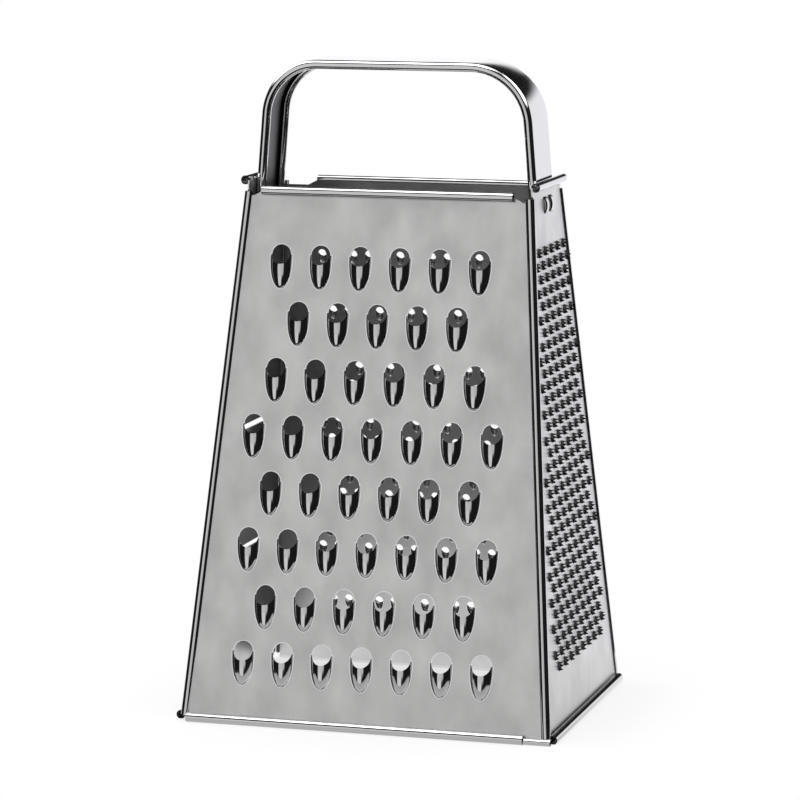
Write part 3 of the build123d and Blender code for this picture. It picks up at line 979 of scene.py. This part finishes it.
# %% The strip tree
def strip_tree():
    """Node tree: a path in, a strip out that follows it."""
    inputs = {
        "Path": "NodeSocketGeometry",
        "Section": "NodeSocketObject",
        "Slots": "NodeSocketObject",
        "Bridges": "NodeSocketObject",
        "Bend steps": "NodeSocketInt",
        "Steel": "NodeSocketMaterial",
    }
    tree, given = new_tree("strip", inputs, "Strip")
    node, link = tree.nodes.new, tree.links.new
    bend = node("GeometryNodeFilletCurve")
    bend.mode = "POLY"
    bend_radius = node("GeometryNodeInputRadius")
    link(given.outputs["Path"], bend.inputs["Curve"])
    link(given.outputs["Bend steps"], bend.inputs["Count"])
    link(bend_radius.outputs["Radius"], bend.inputs["Radius"])
    upright = node("GeometryNodeSetCurveNormal")
    upright.mode = "Z_UP"
    link(bend.outputs["Curve"], upright.inputs["Curve"])
    even = node("GeometryNodeSetCurveRadius")
    even.inputs["Radius"].default_value = 1.0
    link(upright.outputs["Curve"], even.inputs["Curve"])
    sweep = node("GeometryNodeCurveToMesh")
    sweep.inputs["Fill Caps"].default_value = True
    link(even.outputs["Curve"], sweep.inputs["Curve"])
    link(shape_of(tree, given.outputs["Section"]), sweep.inputs["Profile Curve"])
    cut = node("GeometryNodeMeshBoolean")
    cut.operation = "DIFFERENCE"
    link(sweep.outputs["Mesh"], cut.inputs["Mesh 1"])
    link(shape_of(tree, given.outputs["Slots"]), cut.inputs["Mesh 2"])
    together = node("GeometryNodeJoinGeometry")
    link(cut.outputs["Mesh"], together.inputs["Geometry"])
    link(shape_of(tree, given.outputs["Bridges"]), together.inputs["Geometry"])
    real = node("GeometryNodeRealizeInstances")
    link(together.outputs["Geometry"], real.inputs["Geometry"])
    finish = node("GeometryNodeSetMaterial")
    link(real.outputs["Geometry"], finish.inputs["Geometry"])
    link(given.outputs["Steel"], finish.inputs["Material"])
    result = node("NodeGroupOutput")
    link(finish.outputs["Geometry"], result.inputs["Strip"])
    return tree


strip = strip_tree()
print("strip tree nodes", len(strip.nodes))

# %% Section of the strip
handle_rise = 0.04525
handle_width = 0.0245
handle_sheet = 0.0008
bead_radius = 0.00165
bead_turn = 270
bead_steps = 30
hollow_steps = 24
leg_reach = 0.0150
leg_gap = 0.00003
left_bend = 0.0205
right_bend = 0.0225


def strip_section():
    """Corners of the strip's section, x across it and y outward, with both edges curled in."""
    centre = (handle_width / 2 - bead_radius, -bead_radius)
    outside = arc(centre, bead_radius, 90, 90 - bead_turn, bead_steps)
    inside = arc(centre, bead_radius - handle_sheet, 90 - bead_turn, 90, hollow_steps)
    right_half = outside + inside
    return [(x, -y) for x, y, _ in right_half] + [(-x, -y) for x, y, _ in reversed(right_half)]


print("corners of the section", len(strip_section()))


# %% Path of the strip
def leg_x(z):
    """Distance from the middle to the strip's outer side at height z."""
    leg_out = seam_step - (sheet + leg_gap) / math.cos(math.atan(width_slope))
    return base_seam_width / 2 - width_slope * (z - floor_axis) + leg_out


leg_foot = crown_axis - leg_reach
handle_top = crown_axis + handle_rise
path_points = [
    (-leg_x(leg_foot), leg_foot, 0),
    (-leg_x(handle_top), handle_top, left_bend),
    (leg_x(handle_top), handle_top, right_bend),
    (leg_x(leg_foot), leg_foot, 0),
]
path_curve = bpy.data.curves.new("handle_path", "CURVE")
path_curve.dimensions = "3D"
spline = path_curve.splines.new("POLY")
spline.points.add(len(path_points) - 1)
for point, (x, z, bend_here) in zip(spline.points, path_points):
    point.co = (x, 0, z, 1)
    point.radius = bend_here
handle_path = bpy.data.objects.new("handle_path", path_curve)
bpy.context.scene.collection.objects.link(handle_path)
print("path of the strip", [[round(1000 * v, 1) for v in point] for point in path_points])

# %% Slots and bridges of the legs
cutter_reach = 0.003


def slot_cutter(x, y):
    """A box that cuts one slot, drawn in a wall's frame."""
    ends = []
    for side in (-1, 1):
        corners = ((-1, -1), (1, -1), (1, 1), (-1, 1))
        end = [(x + side * half_slot, y + v * clinch_height / 2, w * cutter_reach) for v, w in corners]
        ends.append([Vector(p) for p in end])
    cutter = Metal()
    cutter.grid([end + end[:1] for end in ends])
    cutter.add(ends[0] + ends[1], [(3, 2, 1, 0), (4, 5, 6, 7)], [drawn] * 2)
    return cutter


slots, leg_bridges = Metal(), Metal()
for wall in (right, left):
    for place in clinch_places:
        slots.join(slot_cutter(*place).place(wall.matrix))
    leg_bridges.join(bridges(wall, -sheet - leg_gap, handle_sheet))
print("faces of the slots and the bridges", len(slots.faces), len(leg_bridges.faces))

# %% Handle
handle_tools = [
    curve_object("handle_section", [strip_section()]),
    metal_object("handle_slots", slots),
    metal_object("handle_bridges", leg_bridges),
]
values = dict(zip(("Section", "Slots", "Bridges"), handle_tools))
handle_mesh = grown(handle_path, strip, {**values, "Bend steps": 24, "Steel": handle_steel})
for tool in handle_tools:
    bpy.data.objects.remove(tool)
whole = bmesh.new()
whole.from_mesh(handle_mesh)
bmesh.ops.recalc_face_normals(whole, faces=whole.faces)
whole.to_mesh(handle_mesh)
whole.free()
print("handle points", len(handle_mesh.vertices))

# %% Finishes of the handle
grip_middle = Vector((0, 0, crown_axis))
half_web = handle_width / 2 - bead_radius
half_hollow = half_web - bead_radius
bend_start = handle_top - right_bend
# How squarely a face of the web has to look sideways on a leg, or up on the crown, to be flat.
straight_leg = 0.99
level_crown = 0.999


def is_inside(face):
    """Whether a face is on the strip's inner side, between the curled edges."""
    return abs(face.center.y) < half_hollow and face.normal.dot(grip_middle - face.center) > 0


def is_flat(face):
    """Whether a face is on a straight stretch of the strip's web."""
    on_leg = face.center.z < bend_start and abs(face.normal.x) > straight_leg
    return abs(face.center.y) < half_web and (on_leg or abs(face.normal.z) > level_crown)


# The inner side is rougher, and painted dark as shade where it faces into the body and under the crown.
handle_works = [dull_painted_shade if is_inside(face) else drawn for face in handle_mesh.polygons]
handle_round = [not is_flat(face) for face in handle_mesh.polygons]
dressed(handle_mesh, handle_works, handle_round, "handle")

# %% [markdown]
# The studio.
# Bare metal shows its surroundings more than its own colour, so the studio is half of the look. The
# object stands on a small white table in a light tent. Lamps alone would leave the metal black, and a
# plain white sky would leave it flat, so the sky is painted. The camera and the paper see plain white, and
# the metal sees what the tent really has: pale card in front and behind, soft lights above and high at
# both sides, and dark cloth elsewhere. Each card has its sides in degrees, round from the front to the
# right and up from level, then the softness of its edge and its tone.


# %% World
def studio_world(cloth, cards):
    """White to the camera and the paper, and dark cloth with pale cards to the metal."""
    world = bpy.data.worlds.new("studio")
    world.use_nodes = True
    tree = world.node_tree
    nodes, link = tree.nodes, tree.links.new
    nodes.clear()

    def maths(operation, *values):
        return maths_in(tree, operation, *values)

    def step(value, edge, softness):
        node = nodes.new("ShaderNodeMapRange")
        node.interpolation_type = "SMOOTHSTEP"
        node.inputs["From Min"].default_value = edge - softness
        node.inputs["From Max"].default_value = edge + softness
        link(value, node.inputs["Value"])
        return node.outputs["Result"]

    place = nodes.new("ShaderNodeTexCoord")
    split = nodes.new("ShaderNodeSeparateXYZ")
    link(place.outputs["Generated"], split.inputs["Vector"])
    ahead = maths("MULTIPLY", split.outputs["Y"], -1.0)
    turn = maths("MULTIPLY", maths("ARCTAN2", split.outputs["X"], ahead), 180 / math.pi)
    around = maths("MODULO", maths("ADD", turn, 360.0), 360.0)
    height = maths("MULTIPLY", maths("ARCSINE", split.outputs["Z"]), 180 / math.pi)
    total = None
    for left_side, right_side, low, high, softness, tone in cards:
        azimuth = turn if left_side > -180 and right_side <= 180 else around
        shares = [step(azimuth, left_side, softness), step(height, low, softness)]
        shares += [maths("SUBTRACT", 1, step(azimuth, right_side, softness))]
        shares += [maths("SUBTRACT", 1, step(height, high, softness))]
        share = shares[0]
        for other in shares[1:]:
            share = maths("MULTIPLY", share, other)
        card = nodes.new("ShaderNodeMix")
        card.data_type = "RGBA"
        link(share, card.inputs["Factor"])
        if total:
            link(total, card.inputs["A"])
        else:
            card.inputs["A"].default_value = (cloth, cloth, cloth, 1)
        card.inputs["B"].default_value = (*tone, 1)
        total = card.outputs["Result"]
    rays = nodes.new("ShaderNodeLightPath")
    seen = nodes.new("ShaderNodeMix")
    seen.data_type = "RGBA"
    seen.inputs["B"].default_value = (1, 1, 1, 1)
    plain = maths("MAXIMUM", rays.outputs["Is Camera Ray"], rays.outputs["Is Diffuse Ray"])
    link(plain, seen.inputs["Factor"])
    link(total, seen.inputs["A"])
    sky = nodes.new("ShaderNodeBackground")
    link(seen.outputs["Result"], sky.inputs["Color"])
    out = nodes.new("ShaderNodeOutputWorld")
    link(sky.outputs["Background"], out.inputs["Surface"])
    return world


# %% Cards
dark_cloth = 0.012
cards = [
    (-31, 18, -4, 30, 3, (0.84, 0.84, 0.83)),
    (-31, 18, -4, 7, 4, (0.74, 0.74, 0.73)),
    (-7, 18, -4, 30, 8, (0.64, 0.64, 0.64)),
    (-46, -24, 14, 30, 5, (1.0, 1.0, 1.0)),
    (-31, 5, -36, -4, 3, (0.85, 0.85, 0.85)),
    (55, 135, 24, 64, 5, (3.5, 3.5, 3.5)),
    (-135, -62, 24, 64, 5, (3.5, 3.5, 3.5)),
    (135, 245, -70, 10, 2.5, (1.04, 1.04, 1.08)),
    (182, 245, 2, 12, 3, (1.08, 1.08, 1.1)),
    (-400, 400, 68, 100, 6, (1.0, 1.0, 1.0)),
]
bpy.context.scene.world = studio_world(dark_cloth, cards)
print("cards", len(cards))

# %% [markdown]
# The floor.
# The grater stands on white paper whose edges can't be seen. A big plane would show an edge or a horizon,
# so a small one glows for the camera: fully at its edges, and three quarters in the middle, where the rest
# is lit paper and keeps a faint shadow. For the metal the paper glows too, as painted light: pale, and a
# little brighter behind than in front. In the reflection of a reflection it is a painted shade, dark as
# it is under the body.


# %% Floor
def floor_material():
    """White paper with a faint shadow that fades out toward its edges."""
    material = bpy.data.materials.new("white_paper")
    material.use_nodes = True
    tree = material.node_tree
    nodes, link = tree.nodes, tree.links.new
    shader = nodes["Principled BSDF"]
    shader.inputs["Base Color"].default_value = (0.7, 0.7, 0.7, 1)
    shader.inputs["Roughness"].default_value = 0.9
    shader.inputs["Specular IOR Level"].default_value = 0.0

    def maths(operation, *values):
        return maths_in(tree, operation, *values)

    place = nodes.new("ShaderNodeTexCoord")
    split = nodes.new("ShaderNodeSeparateXYZ")
    link(place.outputs["UV"], split.inputs["Vector"])
    reach = maths("MAXIMUM", *[maths("ABSOLUTE", split.outputs[axis]) for axis in "XY"])
    fade = nodes.new("ShaderNodeMapRange")
    fade.interpolation_type = "SMOOTHSTEP"
    fade.inputs["From Min"].default_value = fade_start
    fade.inputs["To Min"].default_value = middle_glow
    link(reach, fade.inputs["Value"])
    rays = nodes.new("ShaderNodeLightPath")
    seen = maths("MULTIPLY", rays.outputs["Is Camera Ray"], fade.outputs["Result"])
    mirrored_ray = rays.outputs["Is Glossy Ray"]
    # Painted light: in the metal's first reflection the paper glows, a little brighter behind than in front.
    direct = maths("ADD", mirrored_tone, maths("MULTIPLY", split.outputs["Y"], brighter_behind))
    # Painted shade: in the reflection of a reflection the paper glows only faintly, dark as under the body.
    once = maths("LESS_THAN", rays.outputs["Ray Depth"], 1.5)
    again = maths("MULTIPLY", maths("SUBTRACT", 1.0, once), second_hand_tone)
    mirrored = maths("ADD", maths("MULTIPLY", once, direct), again)
    glow = nodes.new("ShaderNodeEmission")
    strength = maths("ADD", rays.outputs["Is Camera Ray"], maths("MULTIPLY", mirrored_ray, mirrored))
    link(strength, glow.inputs["Strength"])
    mix = nodes.new("ShaderNodeMixShader")
    link(maths("MAXIMUM", seen, mirrored_ray), mix.inputs["Fac"])
    link(shader.outputs["BSDF"], mix.inputs[1])
    link(glow.outputs["Emission"], mix.inputs[2])
    link(mix.outputs["Shader"], nodes["Material Output"].inputs["Surface"])
    return material


fade_start = 0.7
middle_glow = 0.75
mirrored_tone = 0.8
brighter_behind = 0.35
second_hand_tone = 0.12
paper_side = 0.11
paper_front = -0.11
paper_back = 0.12
paper_corners = [(paper_side, paper_front), (paper_side, paper_back)]
paper_corners += [(-paper_side, paper_back), (-paper_side, paper_front)]
paper = mesh_object("paper", [(x, y, 0) for x, y in paper_corners], [(3, 0, 1, 2)])
across = paper.data.uv_layers.new(name="across")
for corner, uv in zip(across.uv, ((-1, -1), (1, -1), (1, 1), (-1, 1))):
    corner.vector = uv
paper.data.materials.append(floor_material())
print("paper", [round(v, 2) for v in paper.dimensions])


# %% [markdown]
# The lamp.
# One soft lamp hangs high, a little to the front left, and throws the faint shadow on the paper. The cards
# do the rest, because a stronger lamp would burn white spots into the bare steel.


# %% Lamp
def toward(azimuth, elevation):
    """Direction at these degrees round from the front to the right, and up from level."""
    a, e = math.radians(azimuth), math.radians(elevation)
    return Vector((math.sin(a) * math.cos(e), -math.cos(a) * math.cos(e), math.sin(e)))


body_middle = Vector((0, 0, 0.1))
lamp_way = toward(-30, 75)
lamp_distance = 1.2
lamp = bpy.data.lights.new("top_light", "AREA")
lamp.size = 0.8
lamp.energy = 6
top_light = bpy.data.objects.new("top_light", lamp)
top_light.location = body_middle + lamp_way * lamp_distance
top_light.rotation_euler = lamp_way.to_track_quat("Z", "Y").to_euler()
bpy.context.scene.collection.objects.link(top_light)
print("lamp at", [round(v, 2) for v in top_light.location])

# %% [markdown]
# The camera.
# The picture is taken from a little to the right of the front and slightly above, from far away with a
# long lens, so that the upright edges stay nearly parallel. Those numbers were found by matching the
# teeth and the rims.

# %% Camera
away = toward(16.301, 8.838)
camera_distance = 1.358
aim = Vector((0, 0, 0.0931))
frame_shift = Vector((-0.001566, 0.015776, 0))
turned = away.to_track_quat("Z", "Y")
lens = bpy.data.cameras.new("camera")
lens.lens = 171.52
lens.sensor_width = 36
camera = bpy.data.objects.new("camera", lens)
camera.location = aim + away * camera_distance + turned @ frame_shift
camera.rotation_euler = turned.to_euler()
bpy.context.scene.collection.objects.link(camera)
bpy.context.scene.camera = camera
bpy.context.scene.view_settings.view_transform = "Standard"
print("camera at", [round(v, 3) for v in camera.location])
